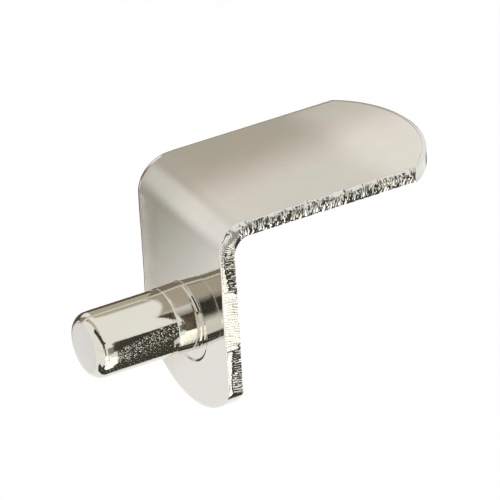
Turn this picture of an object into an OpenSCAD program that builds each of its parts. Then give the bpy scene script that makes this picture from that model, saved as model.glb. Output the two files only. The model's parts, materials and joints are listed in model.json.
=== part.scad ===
// Shelf support pin: a bent strip that carries the shelf, and a turned pin riveted through its leg.
// The origin is on the pin's axis at the wall face. The pin points along -X, the seat reaches along
// +X at the top, and the strip is centred on Y.

/* [Strip] */
// Width of the strip
strip_w = 12.7; // [11:0.1:20]
// Thickness of the strip
strip_t = 1.2; // [0.9:0.1:2]
// Radius on the outside of the bend
bend_r = 2.5; // [2.2:0.1:4]
// Radius of the edge that the blanking die rolled over, on the outer face
roll_r = 0.2; // [0.05:0.05:0.4]

/* [Seat] */
// Height of the seat's top above the pin's axis
seat_h = 10; // [8:0.1:20]
// Reach of the seat from the wall face to its tip
seat_l = 19.6; // [14:0.1:40]
// How far the seat's rounded end bows out beyond its corners
seat_bow = 3.3; // [1:0.1:5]

/* [Leg] */
// Depth of the leg's lowest point below the pin's axis
leg_drop = 6.9; // [6:0.1:15]
// How far the leg's rounded end bows out beyond its corners
leg_bow = 3.1; // [1:0.1:5]

/* [Pin] */
// Diameter of the pin's shank, which fits the drilled hole
pin_d = 5; // [4:0.1:7]
// Length of the pin from the wall face to its tip
pin_l = 8.2; // [6:0.1:14]
// Length of the collar at the pin's root, from the wall face
collar_l = 1.7; // [1:0.1:3]
// How much the collar stands out all round the shank, at its shoulder
collar_step = 0.1; // [0.05:0.01:0.4]
// How much more the collar stands out at its foot, where it wedges into the hole's mouth
collar_flare = 0.08; // [0.02:0.01:0.3]
// Length of the chamfer at the pin's tip
tip_l = 0.45; // [0.1:0.05:1]
// How far the tip's chamfer comes in all round
tip_in = 0.5; // [0.1:0.05:1]

/* [Rivet] */
// Diameter of the tenon that passes through the leg
tenon_d = 3.6; // [2.4:0.1:3.8]
// How much the riveted end spreads all round, into the countersink
rivet_spread = 0.4; // [0.1:0.05:0.8]
// Depth of the countersink on the leg's inner face
rivet_sink = 0.4; // [0.1:0.05:0.6]
// Width of the coined seat's flat floor all round the collar's foot
coin_margin = 0.65; // [0.1:0.05:1.5]
// Depth of the coined seat in the wall face
coin_depth = 0.08; // [0.02:0.01:0.2]
// Width of the coined seat's sloping rim
coin_rim = 0.2; // [0.05:0.05:0.5]

/* [Hidden] */
$fn = 96;
plate_colour = [0.80, 0.79, 0.76];
pin_colour = [0.78, 0.76, 0.71];
pin_r = pin_d / 2;
collar_r = pin_r + collar_step;
tenon_r = tenon_d / 2;
rivet_r = tenon_r + rivet_spread;
foot_r = collar_r + collar_flare;
coin_floor_r = foot_r + coin_margin;
coin_r = coin_floor_r + coin_rim;
bend_z = seat_h - bend_r;
// Cutters start this far outside the face that they cut
clear = 1;

// Radius of an arc across the strip's width that bows out by bow
function arc_radius(bow) = (pow(strip_w / 2, 2) + pow(bow, 2)) / (2 * bow);

// Rectangle hanging below y = 0, with both upper corners rounded, from x = left to x = right
module rolled_plate(left, right) {
    translate([left, -strip_t]) square([right - left, strip_t - roll_r]);
    translate([left + roll_r, -strip_t]) square([right - left - 2 * roll_r, strip_t]);
    for (x = [left + roll_r, right - roll_r])
        translate([x, -roll_r]) circle(r = roll_r);
}

// The strip's section, with its outer face at y = 0
module strip_section() {
    rolled_plate(-strip_w / 2, strip_w / 2);
}

// Thick disc with a rolled upper edge, joined to a block on its -X side that is wider than the strip
module end_blank(arc_r, behind) {
    rotate_extrude() intersection() {
        rolled_plate(-arc_r, arc_r);
        translate([0, -strip_t]) square([arc_r, strip_t]);
    }
    translate([-behind, -strip_w, -strip_t]) cube([behind, 2 * strip_w, strip_t]);
}

// Flat stretch of strip along +X, outer face up at z = 0, with a rounded end
module tongue(length, bow) {
    arc_r = arc_radius(bow);
    intersection() {
        rotate([90, 0, 90]) linear_extrude(length) strip_section();
        translate([length - arc_r, 0, 0]) end_blank(arc_r, length);
    }
}

// Quarter turn of strip from the wall face up to the seat, about an axis along Y
module bend() {
    rotate([90, 0, 0]) rotate([0, 0, 90]) rotate_extrude(angle = 90)
        translate([bend_r, 0]) rotate(-90) strip_section();
}

// Everything that is cut round the pin's axis, with the leg's outer face at z = 0 and its body above
module rivet_hole() {
    translate([0, 0, -clear]) cylinder(h = strip_t + 2 * clear, r = tenon_r);
    cylinder(h = coin_depth, r1 = coin_r, r2 = coin_floor_r);
    translate([0, 0, strip_t - rivet_sink])
        cylinder(h = rivet_sink, r1 = tenon_r, r2 = rivet_r);
}

module bracket() {
    color(plate_colour) difference() {
        union() {
            translate([bend_r, 0, seat_h]) tongue(seat_l - bend_r, seat_bow);
            translate([bend_r, 0, bend_z]) bend();
            translate([0, 0, bend_z]) rotate([0, 90, 180]) tongue(bend_z + leg_drop, leg_bow);
        }
        rotate([0, 90, 0]) rivet_hole();
    }
}

module pin() {
    color(pin_colour) rotate([0, -90, 0]) rotate_extrude() polygon([
        [0, -strip_t],
        [rivet_r, -strip_t],
        [tenon_r, rivet_sink - strip_t],
        [tenon_r, -coin_depth],
        [foot_r, -coin_depth],
        [collar_r, collar_l - collar_step],
        [pin_r, collar_l],
        [pin_r, pin_l - tip_l],
        [pin_r - tip_in, pin_l],
        [0, pin_l],
    ]);
}

bracket();
pin();
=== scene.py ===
"""A shelf support pin in bright nickel: a bent strip with torn side edges, and a pin riveted through its leg.

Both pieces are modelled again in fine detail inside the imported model's box. The strip is one closed mesh with
rolled-over outer edges, torn side edges and a coined seat. The pin is one turned form with rounded edges.
"""
import json
import math

import bmesh
import bpy
import numpy as np
from mathutils import Matrix, Vector


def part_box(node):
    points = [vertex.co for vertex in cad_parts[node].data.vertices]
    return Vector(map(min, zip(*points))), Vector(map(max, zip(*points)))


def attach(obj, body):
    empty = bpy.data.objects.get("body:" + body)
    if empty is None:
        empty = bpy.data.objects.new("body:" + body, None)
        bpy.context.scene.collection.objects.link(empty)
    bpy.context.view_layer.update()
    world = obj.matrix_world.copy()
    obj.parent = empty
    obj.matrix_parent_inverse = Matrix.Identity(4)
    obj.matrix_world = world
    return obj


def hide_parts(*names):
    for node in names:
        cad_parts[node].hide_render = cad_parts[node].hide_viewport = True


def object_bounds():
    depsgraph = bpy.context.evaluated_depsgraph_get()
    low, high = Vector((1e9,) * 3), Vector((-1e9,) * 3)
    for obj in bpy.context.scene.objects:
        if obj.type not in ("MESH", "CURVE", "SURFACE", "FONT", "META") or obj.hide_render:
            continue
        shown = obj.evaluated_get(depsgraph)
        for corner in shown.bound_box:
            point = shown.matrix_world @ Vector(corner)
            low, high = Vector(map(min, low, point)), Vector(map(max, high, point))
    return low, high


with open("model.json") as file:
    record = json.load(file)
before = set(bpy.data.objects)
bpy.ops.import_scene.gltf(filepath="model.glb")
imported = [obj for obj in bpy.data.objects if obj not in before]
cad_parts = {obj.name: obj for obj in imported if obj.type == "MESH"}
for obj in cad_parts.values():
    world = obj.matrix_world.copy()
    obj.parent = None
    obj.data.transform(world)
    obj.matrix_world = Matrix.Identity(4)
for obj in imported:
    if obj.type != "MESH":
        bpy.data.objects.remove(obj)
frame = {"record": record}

MM = 0.001
cad_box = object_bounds()
strip_low, strip_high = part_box("bracket")
pin_low, pin_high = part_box("pin")
pin_mount = next(m for m in frame["record"]["mounts"] if m["name"] == "pin")

# The strip, from the frame and a few driving dimensions. Places along it are counted from the pin's axis, up
# the leg, round the bend and out to the tip.
HALF_WIDTH = strip_high.y
STRIP_T = pin_high.x
BEND_R = 2.5 * MM
SEAT_BOW = 3.3 * MM
LEG_BOW = 3.1 * MM
BEND_START = strip_high.z - BEND_R
BEND_LENGTH = BEND_R * math.pi / 2
LEG_TIP = strip_low.z
SEAT_TIP = BEND_START + BEND_LENGTH + strip_high.x - BEND_R

# The rolled-over outer edge: its width and depth, which are both smaller on the -Y side
ROLL_W = 0.35 * MM
ROLL_D = 0.15 * MM
NEAR_ROLL = 0.07 * MM

# Two bands beside the rolled edge: a thin one that keeps its shading off the face, and a wide one that keeps
# the face's own mesh clear of the torn edge
FLAT_BAND = 0.025 * MM
FACE_BAND = 0.55 * MM

# The pin and its coined seat in the leg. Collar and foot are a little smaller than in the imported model.
SHANK_R = pin_mount["dims"]["r_mm"] * MM
FOOT_R = pin_high.y - 0.05 * MM
COLLAR_R = SHANK_R + 0.05 * MM
COLLAR_L = 1.7 * MM
TENON_R = 1.8 * MM
RIVET_R = 2.2 * MM
RIVET_SINK = 0.4 * MM
COIN_DEPTH = 0.08 * MM
COIN_FLOOR_R = FOOT_R + 0.65 * MM
COIN_R = COIN_FLOOR_R + 0.2 * MM
CHAMFER_L = 0.45 * MM
CHAMFER_IN = 0.5 * MM
TAPER_L = 0.8 * MM
TAPER_IN = 0.035 * MM
GROOVE_L = 0.2 * MM
GROOVE_IN = 0.03 * MM

# How finely the meshes are cut
TURN_CUTS = 144
SHEAR_STEP = 0.055 * MM
ARC_CUTS = 48
ROLL_CUTS = 5
WALL_CUTS = 12
FACE_RINGS = 10


# ---------------------------------------------------------------- shapes shared by the pieces

def smooth(x):
    """Eases from 0 to 1 as x goes from 0 to 1."""
    t = np.clip(x, 0, 1)
    return t * t * (3 - 2 * t)


def field(seed, a, b):
    """Smooth noise from -1 to 1 at the places a, b, which are counted in cells."""
    size = 256
    table = np.random.default_rng(seed).uniform(-1, 1, (size, size))
    i, j = np.floor(a).astype(int), np.floor(b).astype(int)
    u, v = smooth(a - i), smooth(b - j)
    low = table[i % size, j % size] * (1 - u) + table[(i + 1) % size, j % size] * u
    high = table[i % size, (j + 1) % size] * (1 - u) + table[(i + 1) % size, (j + 1) % size] * u
    return low * (1 - v) + high * v


class Shell:
    """A mesh put together from grids of points, whose touching edges are welded at the end."""

    def __init__(self):
        self.points, self.quads, self.flags = [], [], []
        self.count = 0

    def add(self, grid, closed=False, flag=0):
        """Adds a grid of points, by rows and columns. A closed one joins its last column to its first."""
        rows, cols = grid.shape[:2]
        index = self.count + np.arange(rows * cols).reshape(rows, cols)
        if closed:
            index = np.hstack([index, index[:, :1]])
        corners = [index[:-1, :-1], index[1:, :-1], index[1:, 1:], index[:-1, 1:]]
        quads = np.stack([c.ravel() for c in corners], axis=1)
        self.points.append(grid.reshape(-1, 3))
        self.quads.append(quads)
        self.flags.append(np.full(len(quads), flag))
        self.count += rows * cols

    def build(self, name, sharp_degrees):
        """Makes the object, with its normals outward and its creases sharp."""
        mesh = bpy.data.meshes.new(name)
        mesh.from_pydata(np.vstack(self.points).tolist(), [], np.vstack(self.quads).tolist())
        mesh.polygons.foreach_set("material_index", np.concatenate(self.flags).astype(np.int32))
        made = bmesh.new()
        made.from_mesh(mesh)
        bmesh.ops.remove_doubles(made, verts=made.verts, dist=0.0005 * MM)
        bmesh.ops.recalc_face_normals(made, faces=made.faces)
        for face in made.faces:
            face.smooth = True
        made.to_mesh(mesh)
        made.free()
        mesh.set_sharp_from_angle(angle=math.radians(sharp_degrees))
        piece = bpy.data.objects.new(name, mesh)
        bpy.context.scene.collection.objects.link(piece)
        return piece


# ---------------------------------------------------------------- the bent strip

def folded(along, across, depth):
    """Puts points of the flat strip in place. along runs up the leg from the pin's axis, round the bend and
    out to the tip. across is Y. depth goes in from the outer face."""
    turn = np.clip((along - BEND_START) / BEND_R, 0, math.pi / 2)
    beyond = np.maximum(along - BEND_START - BEND_LENGTH, 0)
    radius = BEND_R - depth
    x = BEND_R - radius * np.cos(turn) + beyond
    z = np.minimum(along, BEND_START) + radius * np.sin(turn)
    return np.stack(np.broadcast_arrays(x, across, z), axis=-1)


def rounded_end(tip, bow, inset, outward):
    """The arc across one end of the strip, from -Y to +Y, as (along, across)."""
    radius = (HALF_WIDTH ** 2 + bow ** 2) / (2 * bow)
    half = math.asin((HALF_WIDTH - inset) / (radius - inset))
    angle = np.linspace(-half, half, ARC_CUTS + 1)
    along = tip - outward * radius + outward * (radius - inset) * np.cos(angle)
    return np.stack([along, (radius - inset) * np.sin(angle)], axis=-1)


def side(start, end, across, cuts):
    """Points along a side of the strip, as (along, across)."""
    along = np.linspace(start, end, cuts + 1)
    return np.stack([along, np.full_like(along, across)], axis=-1)


LEG_CUTS = int((BEND_START - LEG_TIP) / SHEAR_STEP)
SEAT_CUTS = int((SEAT_TIP - BEND_START) / SHEAR_STEP)
LEG_LOOP = 2 * LEG_CUTS + ARC_CUTS + 1


def outline(inset):
    """The strip's closed outline, drawn in from its true edge by inset. It starts where the bend does, on the
    -Y side, and goes down the leg, round its end, up the +Y side, round the seat's end and back."""
    edge = HALF_WIDTH - inset
    leg = rounded_end(LEG_TIP, LEG_BOW, inset, -1)
    seat = rounded_end(SEAT_TIP, SEAT_BOW, inset, 1)[::-1]
    return np.vstack([
        side(BEND_START, leg[0, 0], -edge, LEG_CUTS)[:-1],
        leg,
        side(leg[-1, 0], BEND_START, edge, LEG_CUTS)[1:],
        side(BEND_START, seat[0, 0], edge, SEAT_CUTS)[1:-1],
        seat,
        side(seat[-1, 0], BEND_START, -edge, SEAT_CUTS)[1:-1],
    ])


EDGE = outline(0)
INWARD = (outline(ROLL_W) - EDGE) / ROLL_W
ON_SIDE = np.abs(EDGE[:, 1]) > HALF_WIDTH - 0.01 * MM
ACROSS = INWARD * np.stack([1 - ON_SIDE, np.ones_like(EDGE[:, 1])], axis=-1)
NEAR_SIDE = EDGE[:, 1] < 0.01 * MM - HALF_WIDTH
OFF_NEAR_SIDE = smooth((EDGE[:, 1] + HALF_WIDTH) / MM)
ROLLED_IN = NEAR_ROLL + (ROLL_W - NEAR_ROLL) * OFF_NEAR_SIDE
ROLLED_DOWN = NEAR_ROLL + (ROLL_D - NEAR_ROLL) * OFF_NEAR_SIDE
CORNERS = [LEG_CUTS, LEG_CUTS + ARC_CUTS, LEG_LOOP - 1 + SEAT_CUTS, LEG_LOOP - 1 + SEAT_CUTS + ARC_CUTS]

# What the torn edge depends on, at each point of the outline
ALONG = EDGE[:, 0]
STILL = np.zeros_like(ALONG)
OTHER_SIDE = np.where(EDGE[:, 1] < 0, 0.0, 57.3)
ON_SEAT = smooth((ALONG - BEND_START) / BEND_LENGTH)
MID_LEG = 1 - smooth((np.abs(ALONG - 2.4 * MM) - 1.7 * MM) / (1.5 * MM))


def sheared():
    """1 on the sheared sides and 0 on the punched ends, with a short fade at each corner."""
    fade = 0.2 * MM
    inside = np.minimum(ALONG - EDGE[CORNERS[0], 0], EDGE[CORNERS[2], 0] - ALONG)
    return smooth(inside / fade)


def in_bend(along):
    """1 in the middle of the bend, easing to 0 a little beyond its ends."""
    away = np.abs(along - BEND_START - BEND_LENGTH / 2) / BEND_LENGTH
    return 1 - smooth(away / 0.75)


def sag(along, across):
    """How far the outer face lies below a true surface. It falls away a little towards the sheared sides, and
    bending has curled the bend's own sides up."""
    share = np.abs(across / HALF_WIDTH)
    return MM * (0.015 * share ** 4 - 0.05 * in_bend(along) ** 2 * share ** 3)


def pulled_in(depth):
    """How far the bend's stretched outer side is drawn in, against its squeezed inner side."""
    return 0.22 * MM * in_bend(ALONG) * (1 - depth / STRIP_T)


def edge_noise(seed, along, down):
    """Noise along the edge and down it, at places counted in cells. The two sides differ."""
    return field(seed, along + OTHER_SIDE, down)


def crest():
    """Where the burnished band ends, as a share of the thickness. It covers the whole edge in the middle of
    the leg, and strokes of the torn band reach into it above and below that."""
    wave = 0.10 * edge_noise(5, ALONG / (1.4 * MM), STILL)
    strokes = 1.6 * MID_LEG * (1 - MID_LEG) * edge_noise(15, ALONG / (0.15 * MM), STILL)
    return 0.42 + wave + 0.75 * MID_LEG + strokes


def ridges(depth):
    """Ridges that run across the edge and lean a little. On the leg they stand like the teeth of a comb."""
    wander = 0.05 * MM * edge_noise(6, ALONG / (0.35 * MM), depth / (0.3 * MM))
    lean = ALONG + 0.2 * depth + wander
    ridge = np.abs(edge_noise(7, lean / (0.19 * MM), depth / (0.5 * MM)))
    fine = np.abs(edge_noise(9, lean / (0.09 * MM), depth / (0.25 * MM)))
    shake = 2.6 * edge_noise(14, ALONG / (0.45 * MM), depth / (0.6 * MM))
    comb = 0.5 + 0.5 * np.sin(lean * 2 * math.pi / (0.2 * MM) + shake)
    ridge = ridge * (0.55 + 0.45 * ON_SEAT) + 0.62 * comb * (1 - ON_SEAT)
    return (0.11 - 0.025 * ON_SEAT) * ridge + 0.03 * fine


def chips(depth):
    """Chips, most of them on the seat and just below the bend, and small nicks in the seat's upper corner."""
    coarse = np.abs(edge_noise(8, ALONG / (0.25 * MM), depth / (0.22 * MM)))
    nicks = np.abs(edge_noise(13, ALONG / (0.16 * MM), depth / (0.12 * MM)))
    near_bend = smooth((ALONG - 4.6 * MM) / (1.2 * MM)) * (1 - ON_SEAT)
    top = 1 - smooth(depth / (0.35 * STRIP_T))
    return (0.01 + 0.05 * ON_SEAT + 0.06 * near_bend) * coarse + 0.07 * ON_SEAT * top * nicks


def dents(depth):
    """Dents in the upper corner of the seat's edge, on the -Y side only."""
    deep = np.maximum(edge_noise(12, ALONG / (0.3 * MM), STILL) + 0.25, 0)
    top = np.maximum(1 - depth / (0.25 * STRIP_T), 0) ** 1.5
    return 0.13 * ON_SEAT * NEAR_SIDE * deep * top


def tear(depth):
    """How far the edge lies in from its true outline, at one depth below the outer face. The shear's
    burnished band swells out to a crest, and behind it the torn band leans in."""
    share, end = depth / STRIP_T, crest()
    swell = 0.055 + 0.05 * MID_LEG + 0.035 * ON_SEAT
    barrel = np.where(share < end, swell * (1 - share / end), 0.04 * np.abs(share - end))
    torn = smooth((share - end + 0.12) / 0.24)
    calm = (0.13 + 0.87 * ON_SEAT) * np.where(NEAR_SIDE, 1.0, 0.2)
    strength = 0.7 + 0.3 * edge_noise(10, ALONG / (0.9 * MM), depth / (0.8 * MM))
    strength = strength * (calm + (1 - calm) * torn) * (1 - 0.97 * in_bend(ALONG))
    under = 0.12 * ON_SEAT * np.maximum((share - 0.62) / 0.38, 0) ** 2
    rough = barrel + strength * (ridges(depth) + chips(depth)) + dents(depth) + under
    return MM * (rough * sheared() + 0.02 * share * (1 - sheared()))


def corner_rounding():
    """How far the edge lies in close to the four corners, which are slightly blunt."""
    away = np.min([np.linalg.norm(EDGE - EDGE[k], axis=1) for k in CORNERS], axis=0)
    return 0.07 * MM * np.maximum(1 - away / (0.4 * MM), 0) ** 2


def drawn_in(roll, depth):
    """The outline at one depth below the outer face, where the rolled edge still lies in by roll."""
    rounded = roll + corner_rounding()
    torn = tear(depth) + pulled_in(depth)
    return EDGE + INWARD * rounded[:, None] + ACROSS * torn[:, None]


def calm_border(roll, depth):
    """The smooth outline that a face ends on, far enough in to clear the torn edge."""
    return EDGE + INWARD * (roll + FACE_BAND)[:, None] + ACROSS * pulled_in(depth)[:, None]


def laid(flat, depth):
    """Points (along, across) of the flat strip put in place at a depth."""
    return folded(flat[..., 0], flat[..., 1], depth)


def fallen(flat):
    """How far the outer face lies low at points (along, across)."""
    return sag(flat[..., 0], flat[..., 1])


def rolled_rows(outer_border):
    """Rows of points from the outer face's border over the rolled edge, and how low the flat ones lie."""
    beside = drawn_in(ROLLED_IN + FLAT_BAND, STILL)
    fall = fallen(beside)
    rows = [laid(outer_border, fallen(outer_border)), laid(beside, fall)]
    for turn in np.linspace(0, math.pi / 2, ROLL_CUTS + 1):
        rolled = ROLLED_DOWN * (1 - math.cos(turn))
        rows.append(laid(drawn_in(ROLLED_IN * (1 - math.sin(turn)), rolled), rolled + fall))
    return rows, fall


def torn_rows(first, fall):
    """Rows of points from the end of the rolled edge down the torn edge to the inner face."""
    rows = [first]
    for share in np.linspace(0, 1, WALL_CUTS + 1)[1:]:
        depth = ROLLED_DOWN + (STRIP_T - ROLLED_DOWN) * share
        rows.append(laid(drawn_in(0, depth), depth + fall * (1 - share)))
    return rows


def coined(flat):
    """Depth of the coined seat round the pin's foot. The pin was pressed in a little askew, so the seat is
    deepest at the lower right and runs out at the upper left."""
    radius = np.linalg.norm(flat, axis=-1)
    facing = (flat[..., 0] + flat[..., 1]) / (math.sqrt(2) * radius)
    depth = COIN_DEPTH * (1 - smooth((facing + 0.95) / 1.25))
    return depth * (1 - smooth((radius - COIN_FLOOR_R) / (COIN_R - COIN_FLOOR_R)))


def leg_face(border, hole_r, outer):
    """The leg's outer or inner face, as rings from the rivet hole out to its border."""
    across = np.linspace(border[LEG_LOOP - 1, 1], border[0, 1], ARC_CUTS + 1)[1:-1]
    top = np.stack([np.full_like(across, BEND_START), across], axis=-1)
    loop = np.vstack([border[:LEG_LOOP], top])
    aim = loop / np.linalg.norm(loop, axis=1)[:, None]
    near = COIN_R + 0.4 * MM
    beside = 0.02 * MM
    slope = np.linspace(COIN_FLOOR_R, COIN_R, 7)
    steps = [hole_r, FOOT_R, COIN_FLOOR_R - beside, *slope, COIN_R + beside, near]
    rings = [aim * radius for radius in steps]
    for share in np.linspace(0, 1, FACE_RINGS + 1)[1:]:
        rings.append(aim * near * (1 - share) + loop * share)
    flat = np.stack(rings)
    return laid(flat, coined(flat) + fallen(flat) if outer else STRIP_T)


def seat_face(border, outer):
    """The outer or inner face of the bend and the seat, blended between its four borders."""
    left = border[LEG_LOOP - 1:LEG_LOOP + SEAT_CUTS]
    right = np.vstack([border[LEG_LOOP + SEAT_CUTS + ARC_CUTS - 1:], border[:1]])[::-1]
    tip = border[LEG_LOOP + SEAT_CUTS - 1:LEG_LOOP + SEAT_CUTS + ARC_CUTS][::-1]
    across = np.linspace(right[0, 1], left[0, 1], ARC_CUTS + 1)
    root = np.stack([np.full_like(across, BEND_START), across], axis=-1)
    s = np.linspace(0, 1, SEAT_CUTS + 1)[:, None, None]
    t = np.linspace(0, 1, ARC_CUTS + 1)[None, :, None]
    ends = (1 - s) * root[None] + s * tip[None]
    sides = (1 - t) * right[:, None] + t * left[:, None]
    twist = (1 - s) * ((1 - t) * root[0] + t * root[-1]) + s * ((1 - t) * tip[0] + t * tip[-1])
    flat = ends + sides - twist
    return laid(flat, fallen(flat) if outer else STRIP_T)


def hole_wall(outer_ring, inner_ring):
    """The rivet's hole, from the coined seat's floor to the countersink on the inner face."""
    bore_end = outer_ring.copy()
    bore_end[:, 0] = STRIP_T - RIVET_SINK
    return np.stack([outer_ring, bore_end, inner_ring])


def make_bracket():
    """The bent strip as one closed mesh. Faces of flag 1 are the sheared sides."""
    shell = Shell()
    outer_border = calm_border(ROLLED_IN, STILL)
    inner_border = calm_border(STILL, STILL + STRIP_T)
    over, fall = rolled_rows(outer_border)
    down = torn_rows(over[-1], fall)
    back = [down[-1], laid(inner_border, STRIP_T)]
    shell.add(np.stack(over), closed=True)
    shell.add(np.stack(down), closed=True, flag=1)
    shell.add(np.stack(back), closed=True)
    outer_leg = leg_face(outer_border, TENON_R, True)
    inner_leg = leg_face(inner_border, RIVET_R, False)
    shell.add(outer_leg, closed=True)
    shell.add(inner_leg, closed=True)
    shell.add(seat_face(outer_border, True))
    shell.add(seat_face(inner_border, False))
    shell.add(hole_wall(outer_leg[0], inner_leg[0]), closed=True)
    return shell.build("bent_strip", 50)


# ---------------------------------------------------------------- the pin

def filleted(corners, radii, cuts):
    """A line through corner points, each rounded with its own radius."""
    points = [corners[0]]
    for before, here, after, radius in zip(corners, corners[1:], corners[2:], radii):
        a, b = (np.subtract(p, here) / np.linalg.norm(np.subtract(p, here)) for p in (before, after))
        half = math.acos(np.clip(np.dot(a, b), -1, 1)) / 2
        reach = radius / math.tan(half)
        bisector = (a + b) / np.linalg.norm(a + b)
        centre = here + bisector * radius / math.sin(half)
        start, end = here + a * reach - centre, here + b * reach - centre
        sweep = math.pi - 2 * half
        for step in np.linspace(0, 1, cuts + 1):
            weights = math.sin((1 - step) * sweep), math.sin(step * sweep)
            points.append(centre + (start * weights[0] + end * weights[1]) / math.sin(sweep))
    points.append(corners[-1])
    return np.array(points)


def divided(points, longest):
    """The same line with extra points, so that no stretch is longer than the given length."""
    out = [points[0]]
    for a, b in zip(points, points[1:]):
        cuts = max(1, int(np.linalg.norm(b - a) / longest))
        out += [a + (b - a) * k / cuts for k in range(1, cuts + 1)]
    return np.array(out)


def pin_profile():
    """Half of the pin's outline as (x, radius), from the tip's centre to the riveted end's centre. A groove
    runs round the foot, and the shank narrows a little towards the tip."""
    tip = pin_low.x
    corners = [
        (tip, 0.0),
        (tip, SHANK_R - CHAMFER_IN),
        (tip + CHAMFER_L, SHANK_R - TAPER_IN),
        (tip + CHAMFER_L + TAPER_L, SHANK_R),
        (-COLLAR_L, SHANK_R),
        (-COLLAR_L + 0.05 * MM, COLLAR_R),
        (-GROOVE_L, FOOT_R - 0.01 * MM),
        (-GROOVE_L + 0.07 * MM, FOOT_R - GROOVE_IN),
        (COIN_DEPTH, FOOT_R),
        (COIN_DEPTH, TENON_R),
        (STRIP_T - RIVET_SINK, TENON_R),
        (STRIP_T, RIVET_R),
        (STRIP_T, 0.0),
    ]
    rounding = [0.4, 0.95, 14, 0.03, 0.04, 0.06, 0.08, 0.02, 0.02, 0.02, 0.05]
    return divided(filleted(corners, [r * MM for r in rounding], 10), 0.25 * MM)


def make_pin():
    """The pin, turned round the X axis. Faces of flag 0 are its end, those of flag 1 its shank, and those of
    flag 2 its chamfer and everything from the collar on."""
    profile = pin_profile()
    angle = np.linspace(0, 2 * math.pi, TURN_CUTS, endpoint=False)
    x = np.broadcast_to(profile[:, :1], (len(profile), len(angle)))
    y = profile[:, 1:] * np.cos(angle)
    z = profile[:, 1:] * np.sin(angle)
    grid = np.stack([x, y, z], axis=-1)
    chamfer = int(np.argmax(profile[:, 0] > pin_low.x + 0.01 * MM))
    shank = int(np.argmax(profile[:, 0] > pin_low.x + CHAMFER_L))
    collar = int(np.argmax(profile[:, 0] > -COLLAR_L))
    shell = Shell()
    shell.add(grid[:chamfer + 1], closed=True)
    shell.add(grid[chamfer:shank + 1], closed=True, flag=2)
    shell.add(grid[shank:collar + 1], closed=True, flag=1)
    shell.add(grid[collar:], closed=True, flag=2)
    return shell.build("turned_pin", 40)


# ---------------------------------------------------------------- materials

def new_material(name):
    """An empty node material and its tree."""
    material = bpy.data.materials.new(name)
    material.use_nodes = True
    material.node_tree.nodes.clear()
    return material, material.node_tree


def node(tree, kind, inputs=None, **settings):
    """A node with its settings and its input values."""
    made = tree.nodes.new(kind)
    for key, value in settings.items():
        setattr(made, key, value)
    for key, value in (inputs or {}).items():
        made.inputs[key].default_value = value
    return made


def noise(tree, cell, detail=2.0, stretch=(1, 1, 1)):
    """Noise in the object's own space, with cells of the given size in metres."""
    place = node(tree, "ShaderNodeTexCoord")
    scaled = node(tree, "ShaderNodeMapping", {"Scale": stretch})
    made = node(tree, "ShaderNodeTexNoise", {"Scale": 1 / cell, "Detail": detail, "Roughness": 0.5})
    tree.links.new(place.outputs["Object"], scaled.inputs["Vector"])
    tree.links.new(scaled.outputs["Vector"], made.inputs["Vector"])
    return made.outputs["Fac"]


def spread(tree, value, low, high, to_low, to_high, how="LINEAR"):
    """Maps value from low..high to to_low..to_high."""
    limits = {"From Min": low, "From Max": high, "To Min": to_low, "To Max": to_high}
    made = node(tree, "ShaderNodeMapRange", limits, interpolation_type=how)
    tree.links.new(value, made.inputs["Value"])
    return made.outputs["Result"]


def blended(tree, factor, first, second):
    """Mixes two colours."""
    made = node(tree, "ShaderNodeMix", data_type="RGBA")
    made.inputs["A"].default_value = (*first, 1)
    made.inputs["B"].default_value = (*second, 1)
    tree.links.new(factor, made.inputs["Factor"])
    return made.outputs["Result"]


def product(tree, first, second):
    """The product of two values."""
    made = node(tree, "ShaderNodeMath", operation="MULTIPLY")
    tree.links.new(first, made.inputs[0])
    tree.links.new(second, made.inputs[1])
    return made.outputs["Value"]


def rubbed_grain(tree, grains, level):
    """Specks where the noise is above a level, in a band that climbs along the pin's flanks, where they rub
    in the cabinet's hole. They are thickest in the band's upper part, and there is little beside it."""
    place = node(tree, "ShaderNodeTexCoord")
    tilted = node(tree, "ShaderNodeMapping", {"Rotation": (0, 0.133, 0)})
    parts = node(tree, "ShaderNodeSeparateXYZ")
    tree.links.new(place.outputs["Object"], tilted.inputs["Vector"])
    tree.links.new(tilted.outputs["Vector"], parts.inputs["Vector"])
    height = parts.outputs["Z"]
    thick = spread(tree, height, 0.2 * MM, 0.7 * MM, 0.95, 1.05, "SMOOTHSTEP")
    specks = spread(tree, product(tree, grains, thick), level, 1, 0, 1)
    rise = spread(tree, height, 0.1 * MM, 0.75 * MM, 0.3, 1, "SMOOTHSTEP")
    fall = spread(tree, height, 1.1 * MM, 1.5 * MM, 1, 0.03, "SMOOTHSTEP")
    return product(tree, specks, product(tree, rise, fall))


def nickel(name, bright, warm, gloss, grain_cell, grain_height, rubbed_level=None):
    """Nickel plating: slow changes of tint, cloudy gloss, and a fine grain in the surface. With a rubbed
    level, the grain is the rubbed band's specks."""
    material, tree = new_material(name)
    shader = node(tree, "ShaderNodeBsdfPrincipled", {"Metallic": 1.0})
    output = node(tree, "ShaderNodeOutputMaterial")
    tint = spread(tree, noise(tree, 4 * MM), 0.35, 0.65, 0, 1)
    tree.links.new(blended(tree, tint, bright, warm), shader.inputs["Base Color"])
    cloud = noise(tree, 1.5 * MM, 4.0)
    tree.links.new(spread(tree, cloud, 0.3, 0.7, *gloss), shader.inputs["Roughness"])
    grain = node(tree, "ShaderNodeBump", {"Strength": 1.0, "Distance": grain_height})
    height = noise(tree, grain_cell, 1.0)
    if rubbed_level is not None:
        height = rubbed_grain(tree, height, rubbed_level)
    tree.links.new(height, grain.inputs["Height"])
    tree.links.new(grain.outputs["Normal"], shader.inputs["Normal"])
    tree.links.new(shader.outputs["BSDF"], output.inputs["Surface"])
    return material


# ---------------------------------------------------------------- floor, lights and camera

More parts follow.
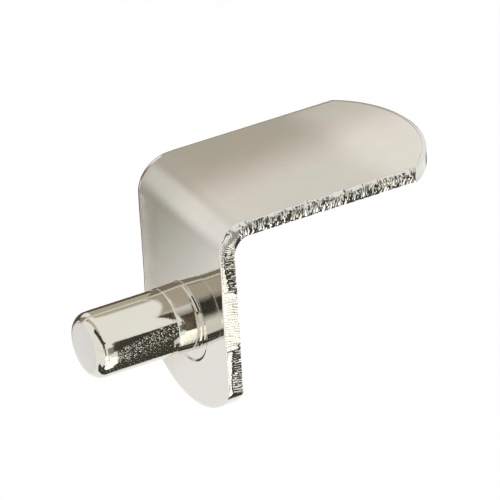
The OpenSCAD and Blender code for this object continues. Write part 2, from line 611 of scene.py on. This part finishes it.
# The tones of the glowing studio cards, which show only in reflections: painted dark reflections, and GLARE for
# painted highlights
TAUPE = (0.50, 0.47, 0.41)
DUSK = (0.30, 0.26, 0.21)
UMBER = (0.60, 0.55, 0.47)
GREY = (0.30, 0.30, 0.28)
MID_GREY = (0.42, 0.43, 0.38)
PALE = (0.87, 0.86, 0.84)
UMBER_BLACK = (0.07, 0.045, 0.03)
BROWN = (0.12, 0.085, 0.06)
BLACK = (0.055, 0.055, 0.045)
GLARE = (1.9, 1.88, 1.78)


def flat_sheet(name, width, height, material):
    """A level rectangle round the origin."""
    w, h = width / 2, height / 2
    mesh = bpy.data.meshes.new(name)
    mesh.from_pydata([(-w, -h, 0), (w, -h, 0), (w, h, 0), (-w, h, 0)], [], [(0, 1, 2, 3)])
    mesh.materials.append(material)
    sheet = bpy.data.objects.new(name, mesh)
    bpy.context.scene.collection.objects.link(sheet)
    return sheet


def paper(name, colour):
    """Matt white paper with a faint tooth, and fibres that are a shade darker."""
    material, tree = new_material(name)
    shader = node(tree, "ShaderNodeBsdfDiffuse", {"Roughness": 0.5})
    output = node(tree, "ShaderNodeOutputMaterial")
    fibres = spread(tree, noise(tree, 0.8 * MM, 3.0, (1, 0.3, 1)), 0.4, 0.6, 0, 1)
    darker = [0.994 * c for c in colour]
    tree.links.new(blended(tree, fibres, colour, darker), shader.inputs["Color"])
    tooth = node(tree, "ShaderNodeBump", {"Strength": 1.0, "Distance": 0.01 * MM})
    tree.links.new(noise(tree, 0.5 * MM, 2.0), tooth.inputs["Height"])
    tree.links.new(tooth.outputs["Normal"], shader.inputs["Normal"])
    tree.links.new(shader.outputs["BSDF"], output.inputs["Surface"])
    return material


def make_floor():
    """A wide pale floor, well below the part, which is held by its pin."""
    floor = flat_sheet("floor", 4.0, 4.0, paper("floor_paper", (0.985, 0.985, 0.985)))
    floor.location = (0, 0, -130 * MM)


def direction(azimuth, elevation):
    """The unit vector towards a place in the studio. Azimuth 0 is +Y and 90 is +X."""
    a, e = math.radians(azimuth), math.radians(elevation)
    return Vector((math.sin(a) * math.cos(e), math.cos(a) * math.cos(e), math.sin(e)))


def card_material():
    """The glowing face that all cards share. Each card's mesh holds its tone, and how much it covers."""
    material, tree = new_material("card_tone")
    tone = node(tree, "ShaderNodeVertexColor", layer_name="tone")
    shader = node(tree, "ShaderNodeEmission", {"Strength": 1.0})
    clear = node(tree, "ShaderNodeBsdfTransparent")
    mix = node(tree, "ShaderNodeMixShader")
    output = node(tree, "ShaderNodeOutputMaterial")
    tree.links.new(tone.outputs["Color"], shader.inputs["Color"])
    tree.links.new(tone.outputs["Alpha"], mix.inputs["Fac"])
    tree.links.new(clear.outputs["BSDF"], mix.inputs[1])
    tree.links.new(shader.outputs["Emission"], mix.inputs[2])
    tree.links.new(mix.outputs["Shader"], output.inputs["Surface"])
    return material


def hang(name, points, tone, cover):
    """Hangs a studio card that only shows in reflections, from a grid of points, its tone and its cover."""
    rows, cols = cover.shape
    index = np.arange(rows * cols).reshape(rows, cols)
    corners = [index[:-1, :-1], index[1:, :-1], index[1:, 1:], index[:-1, 1:]]
    mesh = bpy.data.meshes.new(name)
    quads = np.stack([c.ravel() for c in corners], axis=1)
    mesh.from_pydata(points.reshape(-1, 3).tolist(), [], quads.tolist())
    paint = mesh.color_attributes.new("tone", "FLOAT_COLOR", "POINT")
    coloured = np.broadcast_to(np.asarray(tone, float), (rows, cols, 3))
    paint.data.foreach_set("color", np.dstack([coloured, cover]).ravel())
    mesh.materials.append(CARD)
    sheet = bpy.data.objects.new(name, mesh)
    bpy.context.scene.collection.objects.link(sheet)
    sheet.visible_camera = False
    sheet.visible_diffuse = False
    sheet.visible_shadow = False
    return sheet


def feathered(u, v, soft_u, soft_v):
    """How much a card covers: all of its middle, fading out at its borders. u and v run from -1 to 1."""
    across = 1 - smooth((np.abs(u) - 1 + soft_u) / soft_u)
    down = 1 - smooth((np.abs(v) - 1 + soft_v) / soft_v)
    return across[None, :] * down[:, None]


def flat_card(name, centre, towards, distance, width, height, soft, tone):
    """A flat card that stands at a distance from a centre and faces back to it."""
    u, v = np.linspace(-1, 1, 33), np.linspace(-1, 1, 33)
    right = towards.cross(Vector((0, 0, 1))).normalized()
    up = right.cross(towards)
    middle = np.array(centre + towards * distance)
    side_way = u[None, :, None] * np.array(right) * width / 2
    up_way = v[:, None, None] * np.array(up) * height / 2
    hang(name, middle + side_way + up_way, tone, feathered(u, v, soft, soft))


def curved_card(name, radius, x_range, turn_range, soft, tone, slant=0):
    """A card curved round the pin's axis, in millimetres. Its range of turn is in degrees round X, from +Y
    through +Z. slant is how many degrees its first border falls away from its left end."""
    u, v = np.sin(np.linspace(-math.pi / 2, math.pi / 2, 61)), np.linspace(-1, 1, 81)
    x = MM * (x_range[0] + (x_range[1] - x_range[0]) * (u + 1) / 2)
    first = turn_range[0] + slant * smooth((x / MM - x_range[0]) / 9)
    turn = np.radians(first[None, :] + (turn_range[1] - first)[None, :] * (v[:, None] + 1) / 2)
    grid = np.broadcast_arrays(x[None, :], radius * MM * np.cos(turn), radius * MM * np.sin(turn))
    hang(name, np.stack(grid, axis=-1), tone, feathered(u, v, *soft))


def boom_flag(tone):
    """A dark bar, shown only in reflections as a painted reflection, that runs up and away to the left, as a
    camera boom does, and is widest at its upper end.
    """
    u, v = np.linspace(-1, 1, 33), np.linspace(-1, 1, 81)
    radius = 202 * MM
    turn = np.radians(123 + 35 * v)
    left = (-227 + 77 * v) * MM
    right = (-100 + 22 * v + 90 * smooth((v - 0.35) / 0.65)) * MM
    x = left[:, None] + (right - left)[:, None] * (u[None, :] + 1) / 2
    ring = np.broadcast_to(turn[:, None], x.shape)
    points = np.stack([x, radius * np.cos(ring), radius * np.sin(ring)], axis=-1)
    hang("boom_flag", points, tone, feathered(u, v, 0.25, 0.05))


def make_world():
    """An even white surround. Lamps and surround together light a surface at its own colour."""
    world = bpy.data.worlds.new("studio")
    bpy.context.scene.world = world
    world.use_nodes = True
    tree = world.node_tree
    tree.nodes.clear()
    rays = node(tree, "ShaderNodeLightPath")
    seen = node(tree, "ShaderNodeMath", operation="MAXIMUM")
    any_seen = node(tree, "ShaderNodeMath", operation="MAXIMUM")
    white = node(tree, "ShaderNodeBackground", {"Color": (1, 1, 1, 1), "Strength": 1.0})
    fill = node(tree, "ShaderNodeBackground", {"Color": (1, 1, 1, 1), "Strength": 0.8})
    mix = node(tree, "ShaderNodeMixShader")
    output = node(tree, "ShaderNodeOutputWorld")
    tree.links.new(rays.outputs["Is Camera Ray"], seen.inputs[0])
    tree.links.new(rays.outputs["Is Glossy Ray"], seen.inputs[1])
    tree.links.new(seen.outputs["Value"], any_seen.inputs[0])
    tree.links.new(rays.outputs["Is Transmission Ray"], any_seen.inputs[1])
    tree.links.new(any_seen.outputs["Value"], mix.inputs["Fac"])
    tree.links.new(fill.outputs["Background"], mix.inputs[1])
    tree.links.new(white.outputs["Background"], mix.inputs[2])
    tree.links.new(mix.outputs["Shader"], output.inputs["Surface"])


def softbox(name, towards, distance, size, radiance):
    """A square lamp whose face has the given brightness, aimed at the part."""
    light = bpy.data.lights.new(name, "AREA")
    light.shape = "SQUARE"
    light.size = size
    light.energy = math.pi * size * size * radiance
    lamp = bpy.data.objects.new(name, light)
    bpy.context.scene.collection.objects.link(lamp)
    lamp.location = towards * distance
    lamp.rotation_mode = "QUATERNION"
    lamp.rotation_quaternion = towards.to_track_quat("Z", "Y")
    lamp.visible_glossy = False
    return lamp


def seat_reflection_level(x, y):
    """The level of the seat's painted reflection: dim behind it, light in front of it and beyond its tip."""
    behind = smooth((y - (0.6 + 0.14 * x) + 2.8) / 6.2)
    root = 1 - smooth((x - 2.5) / 3)
    return np.minimum(0.85 - 0.32 * behind + 0.2 * smooth((x - 14.3) / 3) + 0.02 * root, 1)


def leg_reflection_level(z, y):
    """The level of the leg's painted reflection: dim at its upper left, light below."""
    return np.clip(0.841 - 0.036 * y - 0.034 * z, 0.42, 1.0)


def mixed(first, second, share):
    """A colour, or a colour at each place, part of the way from a first one to a second."""
    return np.asarray(first) * (1 - share)[..., None] + np.asarray(second) * share[..., None]


def painted_reflection_tone(along, across):
    """The painted reflection's tone, for the place of the strip that mirrors it. A painted highlight band
    crosses the bend.
    """
    s, y = along / MM, np.clip(across / MM, -9, 9)
    start, length = BEND_START / MM, BEND_LENGTH / MM
    turn = 90 * (s - start) / length
    share = smooth(turn / 90)
    flat = leg_reflection_level(np.minimum(s, start + 1), y) * (1 - share)
    flat = flat + seat_reflection_level(np.maximum(s - start - length, 0) + 2.5, y) * share
    # A painted highlight band across the bend
    band = 0.97 - 0.33 * smooth((y + 0.5) / 7)
    inside = smooth((turn - 8) / 26) * (1 - smooth((turn - 52) / 18))
    level = flat + (np.maximum(band, flat) - flat) * inside
    dim = mixed((0.50, 0.48, 0.425), (0.50, 0.455, 0.38), share)
    light = mixed((1, 1, 0.98), (1, 0.975, 0.90), share)
    return mixed(dim, light, (level - 0.5) / 0.5)


def painted_reflection_sheet(sight):
    """A glowing sheet behind the part, seen only in reflections, that paints the strip's reflections. It is
    curved so that along the sight line each place of the strip mirrors its own place of the sheet."""
    spare = 16 * MM
    beside = 7 * MM
    fade = 8 * MM
    distance = 0.1
    leg = np.linspace(LEG_TIP - spare, BEND_START, 24)
    bend = np.linspace(BEND_START, BEND_START + BEND_LENGTH, 90)
    seat = np.linspace(BEND_START + BEND_LENGTH, SEAT_TIP + spare, 36)
    along = np.concatenate([leg, bend[1:], seat[1:]])
    across = np.linspace(-HALF_WIDTH - beside, HALF_WIDTH + beside, 40)
    turn = np.clip((along - BEND_START) / BEND_R, 0, math.pi / 2)
    normal = np.stack([-np.cos(turn), np.zeros_like(turn), np.sin(turn)], axis=-1)
    mirrored = sight - 2 * (normal @ sight)[:, None] * normal
    places = np.broadcast_arrays(along[:, None], across[None, :])
    points = folded(places[0], places[1], 0.0) + distance * mirrored[:, None, :]
    u = np.linspace(-1, 1, len(across))
    ends = smooth((along - along[0]) / fade) * smooth((along[-1] - along) / fade)
    cover = (1 - smooth((np.abs(u) - 0.8) / 0.2))[None, :] * ends[:, None]
    hang("painted_reflection_sheet", points, painted_reflection_tone(*places), cover)


def rear_cards():
    """Flat cards behind the part, and one before the pin's end face, that show only in reflections as painted
    reflections.
    """
    middle = Vector((-4, 0, 0)) * MM
    end_face = Vector((pin_low.x, 0, 0))
    flat_card("rear_card", middle, direction(28, 22), 0.2, 0.10, 0.29, 0.35, TAUPE)
    flat_card("horizon_flag", middle, direction(14, -12), 0.18, 0.26, 0.14, 0.12, BROWN)
    flat_card("pale_card", end_face, direction(-27.3, -29.5), 0.14, 0.03, 0.03, 0.3, PALE)
    flat_card("rear_flag", middle, direction(-24, 18), 0.22, 0.09, 0.22, 0.3, DUSK)


def upper_left_cards():
    """Curved cards above the part on the left, that show only in reflections: painted reflections of lamps,
    their arms and a lens stand round such a set.
    """
    curved_card("upper_left_card", 250, (-170, -66), (22, 122), (0.2, 0.2), UMBER)
    curved_card("lens_flag", 200, (-130, -84), (100, 190), (0.15, 0.65), BLACK)
    curved_card("arm_flag", 201, (-92, -50), (118, 196), (0.15, 1.0), BROWN)
    # A dark patch painted into the metal's reflections
    curved_card("dark_reflection_flag", 199, (-90, -71), (118, 164), (0.15, 0.4), UMBER_BLACK)
    boom_flag(UMBER_BLACK)


def front_cards():
    """Curved cards in front of the part and below it, shown only in reflections. The bright ones paint
    highlights on the pin's flank and the torn edge, and the dark ones paint the pin's dark band, dark
    reflections on its collar and painted shadows on the torn edge."""
    curved_card("glare_card", 122, (-41.5, 44), (208, 253), (0.04, 0.1), GLARE)
    curved_card("front_glare", 123, (-60, 30), (197, 214), (0.1, 0.2), GLARE)
    curved_card("front_card", 123, (0, 38), (172, 196), (0.2, 0.2), GREY)
    curved_card("bend_card", 120.8, (1, 19), (184, 217), (0.15, 0.1), MID_GREY)
    curved_card("low_left_flag", 121, (-74, -41), (234, 264), (0.06, 0.3), BLACK)
    curved_card("low_flag", 121, (-140, 104), (249, 279), (0.12, 0.12), BLACK)
    curved_card("collar_flag", 121, (34, 62), (160, 192), (0.1, 0.1), UMBER_BLACK)
    curved_card("collar_low_flag", 120.6, (35, 42.5), (238, 262), (0.15, 0.1), BLACK)
    curved_card("left_collar_flag", 121, (-52, -32), (160, 199), (0.2, 0.1), BROWN)
    curved_card("side_flag", 120, (39, 50), (156, 279), (0.25, 0.04), BLACK, slant=12)
    curved_card("edge_flag", 120.5, (47, 104), (183, 256), (0.05, 0.08), BLACK)


def make_camera():
    """A long lens from the front left, a little above, at the photograph's angle. Gives its line of sight."""
    azimuth, elevation, tilt = (math.radians(d) for d in (-27.33, 29.51, -3.49))
    distance = 0.6
    aim_left, aim_up = 0.106 * MM, 1.821 * MM
    back = direction(180 - math.degrees(azimuth), math.degrees(elevation))
    right = Vector((math.cos(azimuth), math.sin(azimuth), 0))
    up = back.cross(right)
    side_axis = math.cos(tilt) * right + math.sin(tilt) * up
    up_axis = back.cross(side_axis)
    middle = (cad_box[0] + cad_box[1]) / 2
    aim = middle - aim_left * side_axis + aim_up * up_axis
    data = bpy.data.cameras.new("camera")
    data.lens = 595
    data.sensor_width = 36
    camera = bpy.data.objects.new("camera", data)
    bpy.context.scene.collection.objects.link(camera)
    turn = Matrix((side_axis, up_axis, back)).transposed().to_4x4()
    camera.matrix_world = Matrix.Translation(aim + back * distance) @ turn
    bpy.context.scene.camera = camera
    return -back


# ---------------------------------------------------------------- the scene

CARD = card_material()
line_of_sight = make_camera()
make_world()
make_floor()
painted_reflection_sheet(np.array(line_of_sight))
rear_cards()
upper_left_cards()
front_cards()
softbox("key", direction(-150, 55), 1.2, 1.2, 1.3)
bpy.context.scene.view_settings.view_transform = "Standard"

satin_gloss = (0.06, 0.10)
mirror_gloss = (0.05, 0.08)
torn_gloss = (0.07, 0.14)
faint = 0.0006 * MM
face = nickel("face_nickel", (0.72, 0.722, 0.685), (0.75, 0.707, 0.675), mirror_gloss, 0.2 * MM, faint)
torn = nickel("sheared_nickel", (0.78, 0.77, 0.72), (0.68, 0.66, 0.57), torn_gloss, 0.1 * MM, 0.006 * MM)
tip = nickel("tip_nickel", (0.74, 0.72, 0.68), (0.73, 0.71, 0.70), satin_gloss, 0.3 * MM, faint)
shank = nickel("pin_nickel", (0.74, 0.72, 0.635), (0.74, 0.71, 0.60), mirror_gloss,
               0.105 * MM, 0.05 * MM, rubbed_level=0.62)
collar = nickel("collar_nickel", (0.74, 0.72, 0.64), (0.74, 0.71, 0.61), satin_gloss, 0.12 * MM, 0.0015 * MM)

bracket = make_bracket()
bracket.data.materials.append(face)
bracket.data.materials.append(torn)
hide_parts("bracket")
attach(bracket, "root")

pin = make_pin()
pin.data.materials.append(tip)
pin.data.materials.append(shank)
pin.data.materials.append(collar)
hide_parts("pin")
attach(pin, "root")
